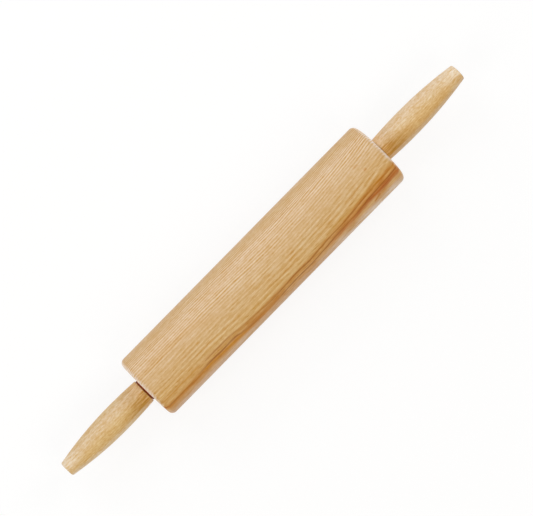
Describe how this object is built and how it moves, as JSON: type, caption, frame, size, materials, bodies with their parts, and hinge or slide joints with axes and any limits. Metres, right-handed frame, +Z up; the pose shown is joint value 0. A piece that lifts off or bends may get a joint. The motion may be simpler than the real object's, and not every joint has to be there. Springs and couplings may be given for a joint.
{
  "type": "rolling pin",
  "caption": "Wooden rolling pin: a round barrel with rounded ends that turns on a hidden steel rod between two slim tapered handles.",
  "frame": {"origin": "on the ground under the middle of the pin's length, below the axis", "axes": "+X along the pin towards its right handle (the upper right one in the picture), +Z up, +Y across the pin"},
  "size_m": [0.419, 0.056, 0.0559],
  "materials": {
    "barrel_beech": "turned beech, sanded, satin",
    "handle_beech": "turned beech, sanded, satin",
    "rod_steel": "bright drawn",
    "bush_nylon": "moulded nylon, brown",
    "insert_brass": "turned brass"
  },
  "bodies": {
    "grips": {"handle_left": "handle_beech", "handle_right": "handle_beech", "insert_left": "insert_brass", "insert_right": "insert_brass", "axle_rod": "rod_steel"},
    "roller": {"barrel": "barrel_beech", "bush_left": "bush_nylon", "bush_right": "bush_nylon"}
  },
  "joints": [
    {"name": "barrel_spin", "type": "hinge", "parent": "grips", "child": "roller", "pos_m": [0, 0, 0.02797], "axis": [1, 0, 0], "continuous": true}
  ]
}
